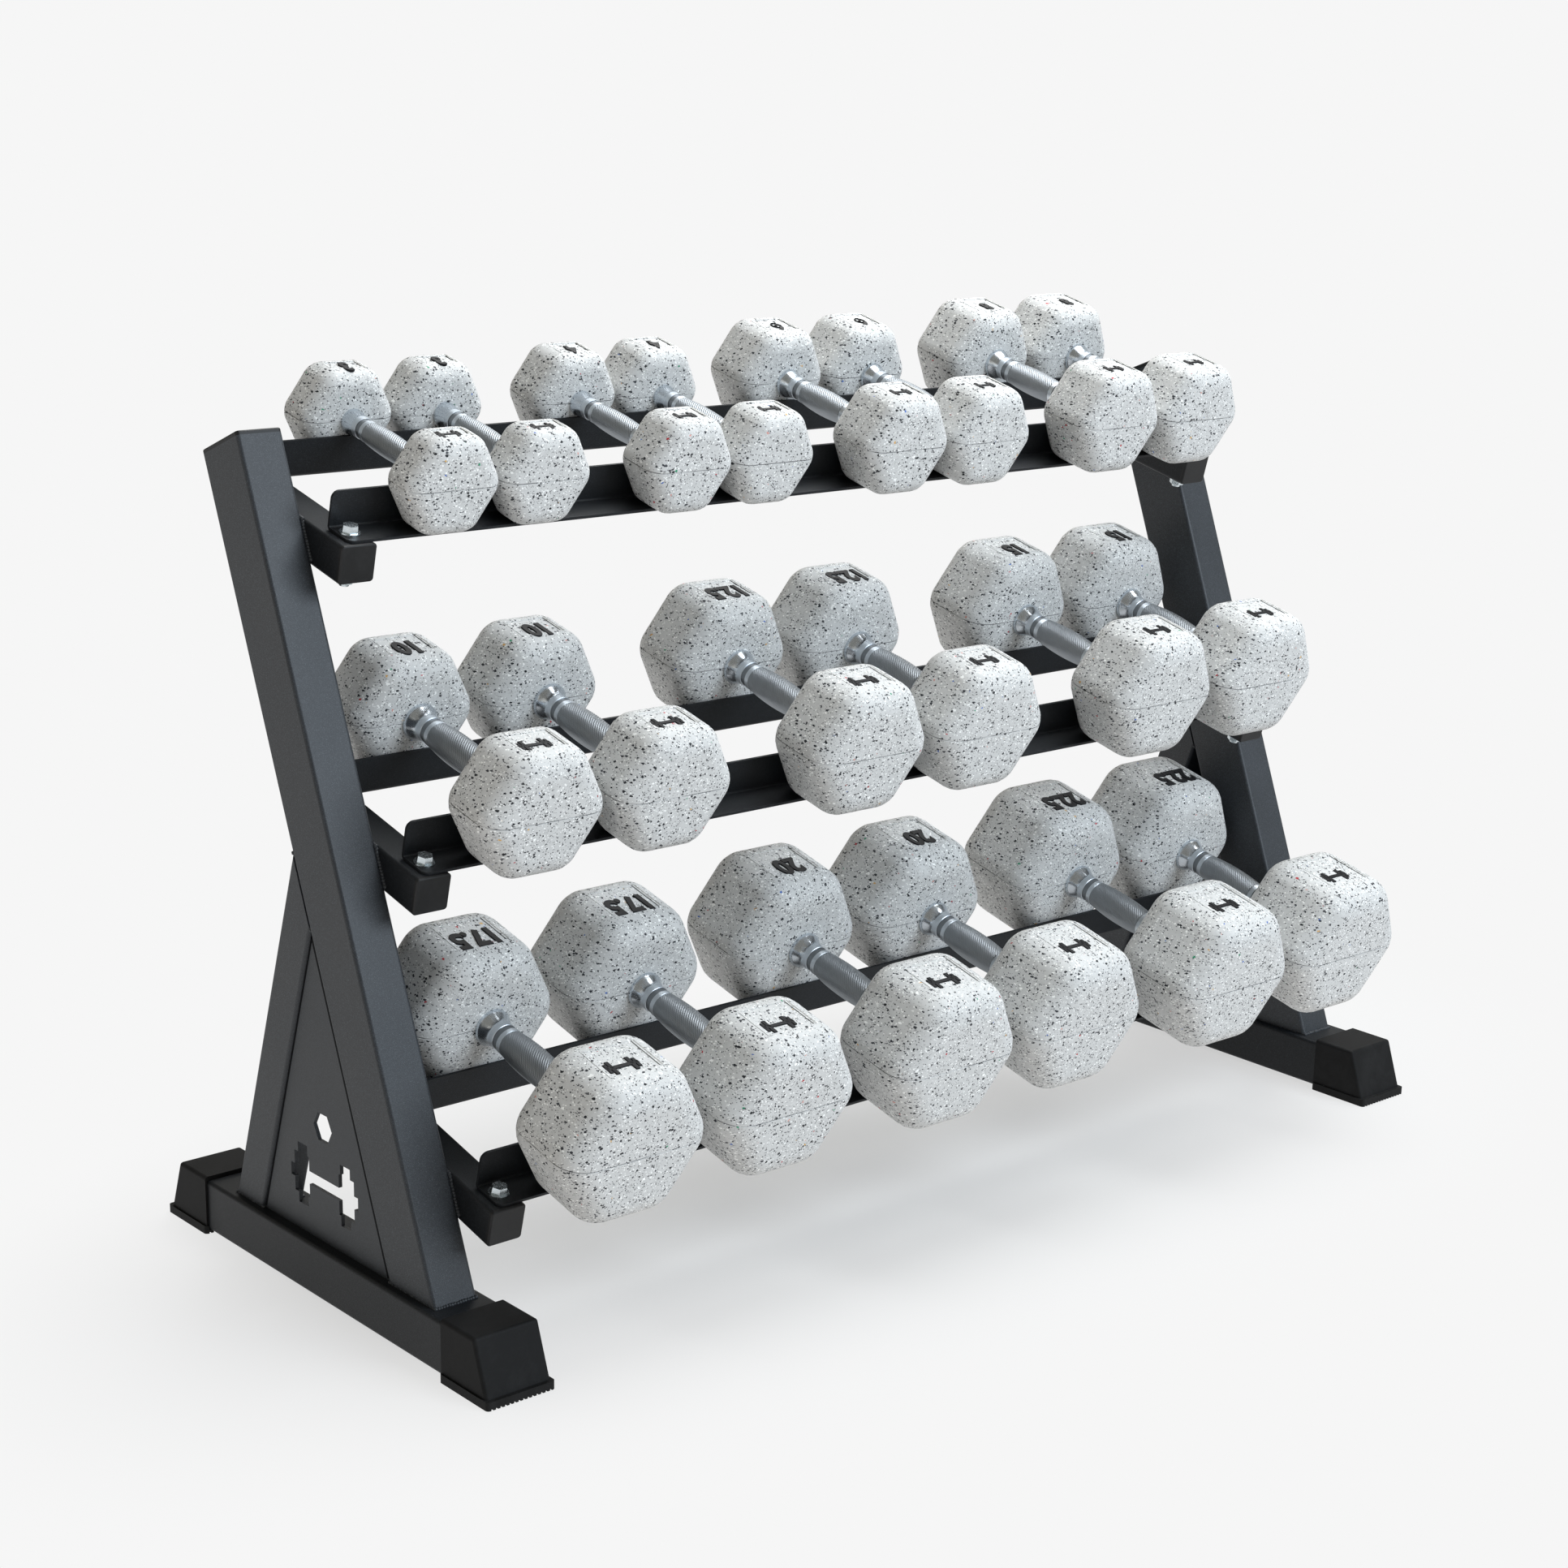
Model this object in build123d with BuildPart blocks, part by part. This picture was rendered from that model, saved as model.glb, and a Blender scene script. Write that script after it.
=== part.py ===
"""Three-tier dumbbell rack with ten pairs of hexagonal dumbbells, in millimetres.

X runs along the rack, -Y is the front, +Z is up. The origin is on the floor, under the middle of the
whole set. Every tilted piece is drawn on one of three kinds of plane: across an upright, across a
shelf, or along a shelf.
"""
from build123d import *
import os
from math import cos, pi, radians, sin, sqrt, tan

os.makedirs("parts", exist_ok=True)

# ---- Driving dimensions: the rack -----------------------------------------------------------------

rack_half_width = 675.0  # centre line to the outer face of an upright

base_width = 70.0  # base tube
base_height = 56.0
base_wall = 3.0
base_corner = 4.0
base_lift = 4.0  # rubber under the base tube
foot_front_reach = 109.0  # front edge of an upright to the tip of the front foot
foot_rear_reach = 497.0  # front edge of an upright to the tip of the rear foot

upright_width = 50.0
upright_depth = 74.0
upright_length = 863.0
upright_lean = 21.5  # degrees back from the vertical
tube_wall = 3.0
tube_corner = 4.0

brace_depth = 50.0
brace_lean = 18.4  # degrees forward from the vertical
brace_set_back = 239.8  # back of an upright to the front of the brace, on the base

gusset_thickness = 4.0
gusset_recess = 3.5  # below the outer face of the upright
icon_height = 62.0  # base tube to the middle of the cut-out
icon_bar_length = 126.0
icon_bar_height = 14.0
icon_plate_height = 66.0
icon_plate_width = 18.0
icon_end_height = 44.0
icon_end_width = 14.0
icon_hexagon_radius = 17.0
icon_hexagon_rise = 62.0

shelf_count = 3
shelf_slope = 13.8  # degrees down towards the front
first_shelf = 122.8  # along the front edge of the upright, base tube to the lowest shelf
shelf_pitch = 326.5  # along the front edge of the upright

arm_size = 40.0
arm_front_reach = 70.0  # ahead of the upright's front edge, along the shelf
arm_overhang = 77.3265  # behind the back of the upright, along the shelf

rail_leg = 40.0  # flat leg
rail_lip = 40.0  # standing leg
rail_thickness = 3.0
rail_bend = 5.0
rail_corner = 8.0
rail_end_inset = 10.0  # from the inner face of the upright
front_rail_reach = 30.0  # back of the front rail's standing leg
rear_rail_reach = -100.0  # front of the rear rail's standing leg

bolt_diameter = 10.0
bolt_head_flats = 15.0
bolt_head_height = 7.0
bolt_flange_diameter = 21.0
bolt_flange_height = 2.0
bolt_tail = 3.0  # below the nut
nut_height = 8.0
bolt_hole_clearance = 0.5
thread_clearance = 0.1
bolt_inset = 22.0  # inner face of the upright to the bolt
bolt_set_back = 21.5  # standing leg to the bolt

cap_thickness = 4.5
cap_plug_depth = 10.0
cap_clearance = 0.2
cap_edge = 2.0

foot_wall = 2.5  # rubber beside the base tube
foot_top = 5.0  # rubber above the base tube
foot_length = 55.0  # along its top
foot_front_slope = 20.0  # how far the front face leans forward over its height
foot_flange_width = 79.0
foot_flange_height = 9.0
foot_flange_back = 81.0
foot_flange_tip = 5.0  # ahead of the foot's sloping face
foot_corner = 4.0
foot_pocket_depth = 44.0
sole_groove_width = 2.4
sole_groove_depth = 1.5
sole_groove_pitch = 5.2
sole_groove_count = 14

# ---- Driving dimensions: the dumbbells ------------------------------------------------------------

head_rounding = 0.20  # edge radius over the width across flats
head_clearance = 0.3  # between a head and the rail it rests on
lip_clearance = 0.7  # between a rear head and the rail lip that holds it
core_inner_cover = 8.0  # rubber over the iron, handle side
core_outer_cover = 12.0
badge_depth = 0.8  # shallow panel on top of each head
badge_width_share = 0.36  # of the width across flats
badge_length_share = 0.44  # of the head length
badge_corner = 2.0
core_fit = 0.05  # between the bar and the bore of an iron core
collar_length = 16.0
collar_seat = 1.5  # how deep the collar stands in the rubber
ring_length = 7.0
groove_length = 6.5
groove_depth = 0.9
inner_ring_length = 6.0
knurl_step = 0.4

steel_density = 7.85e-6  # kg per cubic millimetre
rubber_density = 1.2e-6

# name, kilograms, shelf, middle of the pair, space in the pair, across flats, head length,
# handle between the heads, grip radius at its ends and at its middle, collar radius
dumbbell_pairs = [
    ("3", 3.0, 2, -454.5, 0.8, 101.5, 56.0, 140.0, 11.5, 13.2, 13.6),
    ("4", 4.0, 2, -167.0, 0.8, 103.0, 67.0, 140.0, 11.5, 13.2, 14.0),
    ("6", 6.0, 2, 134.0, 5.0, 113.0, 80.0, 140.0, 12.5, 14.8, 16.5),
    ("8", 8.0, 2, 472.0, 6.0, 122.0, 86.0, 140.0, 13.5, 15.5, 18.0),
    ("10", 10.0, 1, -437.0, 13.0, 135.0, 87.0, 146.0, 14.5, 17.0, 20.0),
    ("12_5", 12.5, 1, -13.0, 16.0, 147.0, 94.0, 146.0, 14.5, 17.0, 20.0),
    ("15", 15.0, 1, 437.0, 15.5, 151.0, 100.0, 146.0, 14.5, 17.0, 20.0),
    ("17_5", 17.5, 0, -421.0, 19.0, 160.0, 111.0, 148.0, 15.0, 17.5, 20.5),
    ("20", 20.0, 0, -5.0, 17.5, 163.0, 117.0, 148.0, 15.0, 17.5, 20.5),
    ("22_5", 22.5, 0, 429.0, 13.5, 168.0, 124.0, 148.0, 15.0, 17.5, 20.5),
]

# ---- Worked-out places ----------------------------------------------------------------------------

base_top = base_lift + base_height
lean = radians(upright_lean)
slope = radians(shelf_slope)
brace_tilt = radians(brace_lean)
inner_face = rack_half_width - upright_width
base_middle = rack_half_width - upright_width / 2
arm_middle = inner_face - arm_size / 2
arm_rear_reach = upright_depth / cos(lean - slope) + arm_overhang
bolt_middle = inner_face - bolt_inset
rail_length = 2 * (inner_face - rail_end_inset)
head_floor = rail_thickness + head_clearance
rear_face = rear_rail_reach - rail_thickness - lip_clearance
front_bolt_reach = front_rail_reach + bolt_set_back
rear_bolt_reach = rear_rail_reach - bolt_set_back


def front_overhang(shelf, flats, head_length, gap):
    """How far a front head stands ahead of the upright's front edge at the base."""
    radius = head_rounding * flats
    along = first_shelf + shelf * shelf_pitch
    reach = rear_face + gap + head_length - radius
    height = head_floor + flats - radius
    return reach * cos(slope) + height * sin(slope) + radius - along * sin(lean)


overhangs = [front_overhang(row[2], row[5], row[6], row[7]) for row in dumbbell_pairs]
front_reach = max(overhangs + [foot_front_reach])
front_edge = (front_reach - foot_rear_reach) / 2  # Y of an upright's front edge on the base tube

up_along = (0, sin(lean), cos(lean))
up_back = (0, cos(lean), -sin(lean))
shelf_forward = (0, -cos(slope), -sin(slope))
shelf_normal = (0, -sin(slope), cos(slope))
shelf_backward = (0, cos(slope), sin(slope))


def shelf_point(shelf):
    """Where the shelf surface meets the front edge of the uprights."""
    along = first_shelf + shelf * shelf_pitch
    return Vector(0, front_edge, base_top) + Vector(*up_along) * along


def upright_plane(along, side):
    """Across an upright: x to the right, y square to its front face and back."""
    centre = Vector(side * base_middle, front_edge, base_top)
    centre += Vector(*up_along) * along + Vector(*up_back) * (upright_depth / 2)
    return Plane(origin=centre, x_dir=(1, 0, 0), z_dir=up_along)


def across_shelf(shelf, reach):
    """Across a shelf: x to the right, y square to the shelf, z forward down the slope."""
    origin = shelf_point(shelf) + Vector(*shelf_forward) * reach
    return Plane(origin=origin, x_dir=(1, 0, 0), z_dir=shelf_forward)


def over_shelf(shelf, height):
    """Flat on a shelf: x to the right, y back up the slope, z square to the shelf."""
    origin = shelf_point(shelf) + Vector(*shelf_normal) * height
    return Plane(origin=origin, x_dir=(1, 0, 0), z_dir=shelf_normal)


def along_shelf(shelf):
    """Side view of a shelf: x back up the slope, y square to the shelf, z to the right."""
    return Plane(origin=shelf_point(shelf), x_dir=shelf_backward, z_dir=(1, 0, 0))


def save(builder, name):
    """Label a finished piece and write it as its own STEP file."""
    builder.part.label = name
    export_step(builder.part, f"parts/{name}.step")


# ---- Side frames ----------------------------------------------------------------------------------

foot_tip_front = front_edge - foot_front_reach
foot_tip_rear = front_edge + foot_rear_reach
foot_top_front = foot_tip_front + foot_flange_tip + foot_front_slope
foot_back = foot_top_front + foot_length
tube_front = foot_back - foot_pocket_depth
tube_rear = foot_tip_front + foot_tip_rear - tube_front
upright_back_on_base = front_edge + upright_depth / cos(lean)
brace_rear_on_base = upright_back_on_base + brace_set_back + brace_depth / cos(brace_tilt)
brace_front_on_base = brace_rear_on_base - brace_depth / cos(brace_tilt)
back_plane = Plane(origin=(0, upright_back_on_base, base_top), x_dir=(1, 0, 0), z_dir=up_back)
base_plane = Plane.XY.offset(base_top)

for side, side_name in ((-1, "left"), (1, "right")):
    with BuildPart() as base_tube:
        with BuildSketch(Plane.XZ.offset(-tube_rear)):
            with Locations((side * base_middle, base_lift + base_height / 2)):
                RectangleRounded(base_width, base_height, base_corner)
                Rectangle(base_width - 2 * base_wall, base_height - 2 * base_wall, mode=Mode.SUBTRACT)
        extrude(amount=tube_rear - tube_front)
    save(base_tube, f"{side_name}_base_tube")

    with BuildPart() as upright:
        with BuildSketch(upright_plane(-upright_depth, side)):
            RectangleRounded(upright_width, upright_depth, tube_corner)
            Rectangle(upright_width - 2 * tube_wall, upright_depth - 2 * tube_wall, mode=Mode.SUBTRACT)
        extrude(amount=upright_depth + upright_length)
        split(bisect_by=base_plane, keep=Keep.TOP)
    save(upright, f"{side_name}_upright")

    with BuildPart() as brace:
        brace_along = (0, -sin(brace_tilt), cos(brace_tilt))
        brace_start = Vector(side * base_middle, brace_rear_on_base, base_top)
        brace_start -= Vector(*brace_along) * brace_depth
        brace_start -= Vector(0, cos(brace_tilt), sin(brace_tilt)) * (brace_depth / 2)
        with BuildSketch(Plane(origin=brace_start, x_dir=(1, 0, 0), z_dir=brace_along)):
            RectangleRounded(upright_width, brace_depth, tube_corner)
            Rectangle(upright_width - 2 * tube_wall, brace_depth - 2 * tube_wall, mode=Mode.SUBTRACT)
        extrude(amount=upright_length)
        split(bisect_by=base_plane, keep=Keep.TOP)
        split(bisect_by=back_plane, keep=Keep.TOP)
    save(brace, f"{side_name}_rear_brace")

    # The plate fills the triangle between upright, brace and base tube; the icon is cut through it.
    gusset_base = brace_front_on_base - upright_back_on_base
    gusset_apex = gusset_base / (tan(lean) + tan(brace_tilt))
    icon_middle = upright_back_on_base + icon_height * tan(lean)
    icon_middle += (gusset_base - icon_height * (tan(lean) + tan(brace_tilt))) / 2
    gusset_face = side * (rack_half_width - gusset_recess)
    with BuildPart() as gusset:
        with BuildSketch(Plane.YZ.offset(gusset_face)):
            with BuildLine():
                Polyline(
                    (upright_back_on_base, base_top),
                    (brace_front_on_base, base_top),
                    (upright_back_on_base + gusset_apex * tan(lean), base_top + gusset_apex),
                    close=True,
                )
            make_face()
            with Locations((icon_middle, base_top + icon_height)):
                Rectangle(icon_bar_length, icon_bar_height, mode=Mode.SUBTRACT)
                plate_spacing = icon_bar_length - 2 * icon_end_width - icon_plate_width
                with GridLocations(plate_spacing, 0, 2, 1):
                    Rectangle(icon_plate_width, icon_plate_height, mode=Mode.SUBTRACT)
                with GridLocations(icon_bar_length - 3 * icon_end_width, 0, 2, 1):
                    Rectangle(icon_end_width * 2, icon_end_height, mode=Mode.SUBTRACT)
            with Locations((icon_middle, base_top + icon_height + icon_hexagon_rise)):
                RegularPolygon(icon_hexagon_radius, 6, mode=Mode.SUBTRACT)
        extrude(amount=-side * gusset_thickness)
    save(gusset, f"{side_name}_gusset_plate")

    with BuildPart() as arms:
        for shelf in range(shelf_count):
            with BuildSketch(across_shelf(shelf, -arm_rear_reach)):
                with Locations((side * arm_middle, -arm_size / 2)):
                    RectangleRounded(arm_size, arm_size, tube_corner)
                    Rectangle(arm_size - 2 * tube_wall, arm_size - 2 * tube_wall, mode=Mode.SUBTRACT)
            extrude(amount=arm_rear_reach + arm_front_reach)
            with BuildSketch(over_shelf(shelf, -arm_size)):
                with Locations((side * bolt_middle, -front_bolt_reach), (side * bolt_middle, -rear_bolt_reach)):
                    Circle(bolt_diameter / 2 + bolt_hole_clearance)
            extrude(amount=arm_size, mode=Mode.SUBTRACT)
    save(arms, f"{side_name}_shelf_arms")

# ---- Rails ----------------------------------------------------------------------------------------

shelf_names = ("bottom", "middle", "top")


def is_rail_corner(edge):
    """The short edges at the free tips of both legs, on the rail's two ends."""
    short = abs(edge.length - rail_thickness) < 1e-4
    return short and abs(abs(edge.center().X) - rail_length / 2) < 1e-4


for shelf, shelf_name in enumerate(shelf_names):
    # In the side view x runs backward, so the front rail's flat leg points along -x.
    for rail_name, reach, turn, bolt_reach in (
        ("front", front_rail_reach, -1, front_bolt_reach),
        ("rear", rear_rail_reach, 1, rear_bolt_reach),
    ):
        with BuildPart() as rail:
            with BuildSketch(along_shelf(shelf)):
                with BuildLine():
                    Polyline(
                        (-reach, 0),
                        (-reach + turn * rail_leg, 0),
                        (-reach + turn * rail_leg, rail_thickness),
                        (-reach + turn * rail_thickness, rail_thickness),
                        (-reach + turn * rail_thickness, rail_lip),
                        (-reach, rail_lip),
                        close=True,
                    )
                make_face()
            extrude(amount=rail_length / 2, both=True)
            outer_line = shelf_point(shelf) + Vector(*shelf_forward) * reach
            fillet(rail.edges().filter_by(Axis.X).sort_by_distance(outer_line)[0], rail_bend)
            inner_line = outer_line + Vector(*shelf_backward) * (turn * rail_thickness)
            inner_line += Vector(*shelf_normal) * rail_thickness
            fillet(rail.edges().filter_by(Axis.X).sort_by_distance(inner_line)[0], rail_bend - rail_thickness)
            fillet(rail.edges().filter_by(is_rail_corner), rail_corner)
            with BuildSketch(over_shelf(shelf, 0)):
                with Locations((-bolt_middle, -bolt_reach), (bolt_middle, -bolt_reach)):
                    Circle(bolt_diameter / 2 + bolt_hole_clearance)
            extrude(amount=rail_thickness, mode=Mode.SUBTRACT)
        save(rail, f"{shelf_name}_{rail_name}_rail")

# ---- Fasteners ------------------------------------------------------------------------------------

bolt_places = [(x, -reach) for x in (-bolt_middle, bolt_middle) for reach in (front_bolt_reach, rear_bolt_reach)]
nut_top = -arm_size
bolt_end = nut_top - nut_height - bolt_tail

with BuildPart() as bolts:
    for shelf in range(shelf_count):
        with BuildSketch(over_shelf(shelf, rail_thickness)):
            with Locations(*bolt_places):
                Circle(bolt_flange_diameter / 2)
        extrude(amount=bolt_flange_height)
        with BuildSketch(over_shelf(shelf, rail_thickness + bolt_flange_height)):
            with Locations(*bolt_places):
                RegularPolygon(bolt_head_flats / 2, 6, major_radius=False)
        extrude(amount=bolt_head_height, taper=4)
        with BuildSketch(over_shelf(shelf, bolt_end)):
            with Locations(*bolt_places):
                Circle(bolt_diameter / 2)
        extrude(amount=rail_thickness - bolt_end)
save(bolts, "rail_bolts")

with BuildPart() as nuts:
    for shelf in range(shelf_count):
        with BuildSketch(over_shelf(shelf, nut_top)):
            with Locations(*bolt_places):
                Circle(bolt_flange_diameter / 2)
        extrude(amount=-bolt_flange_height)
        with BuildSketch(over_shelf(shelf, nut_top)):
            with Locations(*bolt_places):
                RegularPolygon(bolt_head_flats / 2, 6, major_radius=False)
        extrude(amount=-nut_height)
        with BuildSketch(over_shelf(shelf, nut_top)):
            with Locations(*bolt_places):
                Circle(bolt_diameter / 2 + thread_clearance)
        extrude(amount=-nut_height, mode=Mode.SUBTRACT)
save(nuts, "rail_nuts")

# ---- Plastic caps and rubber feet -----------------------------------------------------------------


def tube_cap(plane, width, depth):
    """A plug for a tube end: a plate over the wall and a block inside it. The plane looks outward."""
    inside = 2 * (tube_wall + cap_clearance)
    with BuildPart() as cap:
        with BuildSketch(plane):
            RectangleRounded(width, depth, tube_corner)
        extrude(amount=cap_thickness)
        outer_face = cap.faces().sort_by(Axis(plane.origin, plane.z_dir))[-1]
        fillet(outer_face.edges(), cap_edge)
        with BuildSketch(plane):
            Rectangle(width - inside, depth - inside)
        extrude(amount=-cap_plug_depth)
    return cap.part


with BuildPart() as caps:
    for side in (-1, 1):
        add(tube_cap(upright_plane(upright_length, side), upright_width, upright_depth))
        for shelf in range(shelf_count):
            front_end = across_shelf(shelf, arm_front_reach)
            rear_end = across_shelf(shelf, -arm_rear_reach)
            arm_axis = (side * arm_middle, -arm_size / 2)
            front_plane = Plane(front_end.from_local_coords(arm_axis), (1, 0, 0), shelf_forward)
            rear_plane = Plane(rear_end.from_local_coords(arm_axis), (1, 0, 0), shelf_backward)
            add(tube_cap(front_plane, arm_size, arm_size))
            add(tube_cap(rear_plane, arm_size, arm_size))
save(caps, "end_caps")

with BuildPart() as feet:
    # The left front foot, then its mirror images.
    with BuildSketch(Plane.YZ.offset(-base_middle)):
        with BuildLine():
            Polyline(
                (foot_back, 0),
                (foot_back, base_top + foot_top),
                (foot_top_front, base_top + foot_top),
                (foot_tip_front + foot_flange_tip, foot_flange_height),
                (foot_tip_front + foot_flange_tip, 0),
                close=True,
            )
        make_face()
    extrude(amount=base_width / 2 + foot_wall, both=True)
    soft_edges = feet.edges().filter_by(lambda edge: edge.center().Z > foot_flange_height)
    fillet(soft_edges.filter_by(lambda edge: edge.center().Y < foot_back - 1), foot_corner)
    with BuildSketch(Plane.XY):
        with Locations((-base_middle, foot_tip_front + foot_flange_back / 2)):
            RectangleRounded(foot_flange_width, foot_flange_back, foot_corner)
    extrude(amount=foot_flange_height)
    with BuildSketch(Plane.XZ.offset(-foot_back - foot_flange_back)):
        with Locations((-base_middle, base_lift + base_height / 2)):
            Rectangle(base_width, base_height)
    extrude(amount=foot_flange_back + foot_pocket_depth, mode=Mode.SUBTRACT)
    with BuildSketch(Plane.XY):
        with Locations((-base_middle, foot_tip_front)):
            with GridLocations(sole_groove_pitch, 0, sole_groove_count, 1):
                Rectangle(sole_groove_width, 3 * foot_flange_back)
    extrude(amount=sole_groove_depth, mode=Mode.SUBTRACT)
    mirror(about=Plane.XZ.offset(-(foot_tip_front + foot_tip_rear) / 2))
    mirror(about=Plane.YZ)
save(feet, "rubber_feet")

# ---- Dumbbells ------------------------------------------------------------------------------------


def draw_handle(gap, tenon, end_radius, middle_radius, collar_radius):
    """Half outline of a handle, from its middle outward, then back along its axis."""
    knurl_end = gap / 2 - collar_length - ring_length - groove_length - inner_ring_length
    groove_start = knurl_end + inner_ring_length
    ring_start = groove_start + groove_length
    taper_start = ring_start + ring_length
    tenon_radius = end_radius - 3
    steps = [
        (knurl_end, end_radius),
        (groove_start, end_radius),
        (groove_start, end_radius - groove_depth),
        (ring_start, end_radius - groove_depth),
        (ring_start, end_radius),
        (taper_start, end_radius),
        (gap / 2 - collar_seat, collar_radius),
        (gap / 2 + collar_seat, collar_radius),
        (gap / 2 + collar_seat, tenon_radius),
        (tenon, tenon_radius),
        (tenon, 0),
    ]
    back = [(-along, radius) for along, radius in reversed(steps)]
    Polyline(*steps)
    Line((tenon, 0), (-tenon, 0))
    Polyline(*back)
    knurl_radius = end_radius + knurl_step
    Line((knurl_end, end_radius), (knurl_end, knurl_radius))
    Line((-knurl_end, end_radius), (-knurl_end, knurl_radius))
    ThreePointArc((-knurl_end, knurl_radius), (0, middle_radius), (knurl_end, knurl_radius))


for name, mass, shelf, pair_middle, spacing, flats, length, gap, end_radius, middle_radius, collar in dumbbell_pairs:
    head_radius = head_rounding * flats
    head_width = flats / cos(pi / 6) - 2 * head_radius * (1 / cos(pi / 6) - 1)
    head_middle = head_floor + flats / 2
    handle_reach = rear_face + gap / 2
    core_length = length - core_inner_cover - core_outer_cover
    tenon_end = gap / 2 + core_inner_cover + core_length
    tenon_radius = end_radius - 3

    for turn, side_name in ((-1, "left"), (1, "right")):
        x = pair_middle + turn * (head_width + spacing) / 2
        centre = across_shelf(shelf, handle_reach).from_local_coords((x, head_middle))
        handle_axis = Axis(centre, shelf_forward)

        with BuildPart() as handle:
            with BuildSketch(Plane(centre, shelf_forward, (-1, 0, 0))):
                with BuildLine():
                    draw_handle(gap, tenon_end, end_radius, middle_radius, collar)
                make_face()
            revolve(axis=handle_axis)
        bar_volume = handle.part.volume

        with BuildPart() as heads:
            for head_start in (handle_reach - gap / 2 - length, handle_reach + gap / 2):
                with BuildSketch(across_shelf(shelf, head_start)):
                    with Locations((x, head_middle)):
                        RegularPolygon(flats / 2, 6, major_radius=False)
                extrude(amount=length)
            fillet(heads.edges(), head_radius)
            head_volume = heads.part.volume / 2

            # The iron cores make up the mass that the steel bar and the rubber don't.
            bored = pi * tenon_radius**2
            rubber_mass = 2 * rubber_density * (head_volume - bored * core_inner_cover)
            core_mass = mass - steel_density * (bar_volume - 2 * bored * core_length) - rubber_mass
            core_area = core_mass / (2 * core_length * (steel_density - rubber_density))
            core_radius = sqrt(core_area / pi)

            for end in (-1, 1):
                seat = handle_reach + end * gap / 2
                inward = end * core_inner_cover
                with BuildSketch(across_shelf(shelf, seat)):
                    with Locations((x, head_middle)):
                        Circle(collar)
                extrude(amount=end * collar_seat, mode=Mode.SUBTRACT)
                with BuildSketch(across_shelf(shelf, seat)):
                    with Locations((x, head_middle)):
                        Circle(tenon_radius)
                extrude(amount=inward, mode=Mode.SUBTRACT)
                with BuildSketch(across_shelf(shelf, seat + inward)):
                    with Locations((x, head_middle)):
                        Circle(core_radius)
                extrude(amount=end * core_length, mode=Mode.SUBTRACT)
                badge_reach = seat + end * length / 2
                with BuildSketch(over_shelf(shelf, head_floor + flats)):
                    with Locations((x, -badge_reach)):
                        badge_size = (flats * badge_width_share, length * badge_length_share)
                        RectangleRounded(*badge_size, badge_corner)
                extrude(amount=-badge_depth, mode=Mode.SUBTRACT)
        save(heads, f"dumbbell_{name}kg_{side_name}_heads")

        with BuildPart() as bar_and_cores:
            add(handle.part)
            for end in (-1, 1):
                core_start = handle_reach + end * (gap / 2 + core_inner_cover)
                with BuildSketch(across_shelf(shelf, core_start)):
                    with Locations((x, head_middle)):
                        Circle(core_radius)
                        Circle(tenon_radius + core_fit, mode=Mode.SUBTRACT)
                extrude(amount=end * core_length)
        save(bar_and_cores, f"dumbbell_{name}kg_{side_name}_handle")
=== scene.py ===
"""Three-tier dumbbell rack with ten pairs of dumbbells.

Metres, with +X along the rack, -Y the front and +Z up.
"""
import math
import random

import bmesh
import bpy
from mathutils import Matrix, Vector


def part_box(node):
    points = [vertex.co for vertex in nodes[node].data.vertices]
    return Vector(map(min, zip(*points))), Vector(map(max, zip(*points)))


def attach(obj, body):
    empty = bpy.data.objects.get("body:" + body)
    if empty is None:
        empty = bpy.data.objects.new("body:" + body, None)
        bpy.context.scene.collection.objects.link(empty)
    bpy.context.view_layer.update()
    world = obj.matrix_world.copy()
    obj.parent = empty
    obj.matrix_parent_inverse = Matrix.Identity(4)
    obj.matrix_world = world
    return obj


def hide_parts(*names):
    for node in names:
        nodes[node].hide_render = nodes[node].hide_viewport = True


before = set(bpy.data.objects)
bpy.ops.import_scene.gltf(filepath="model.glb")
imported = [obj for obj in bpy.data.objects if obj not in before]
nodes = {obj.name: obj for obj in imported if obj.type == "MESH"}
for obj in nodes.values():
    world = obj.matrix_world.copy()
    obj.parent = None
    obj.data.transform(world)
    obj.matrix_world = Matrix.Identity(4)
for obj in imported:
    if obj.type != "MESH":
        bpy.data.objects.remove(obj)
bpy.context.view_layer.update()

# ---- Side frames ----------------------------------------------------------------------------------
# Two mirror-image frames of rectangular steel tube, welded from a base tube, a leaning upright, a rear
# brace and three sloping arms, with a cut-out plate in the triangle. All of it is powder coated in a
# fine-grained satin black; the base tubes and the arms get a darker copy of the coat, as painted shade.


def new_material(name):
    """A node material: its tree, its shader and a maker of further nodes."""
    material = bpy.data.materials.new(name)
    material.use_nodes = True
    tree = material.node_tree
    shader = tree.nodes["Principled BSDF"]
    return material, tree, shader


def place(tree, kind, **settings):
    """Add a node; settings are its properties, or its inputs where the name is an input's."""
    node = tree.nodes.new(kind)
    for name, value in settings.items():
        socket_name = name.replace("_", " ").title()
        if hasattr(node, name):
            setattr(node, name, value)
        else:
            node.inputs[socket_name].default_value = value
    return node


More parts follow.
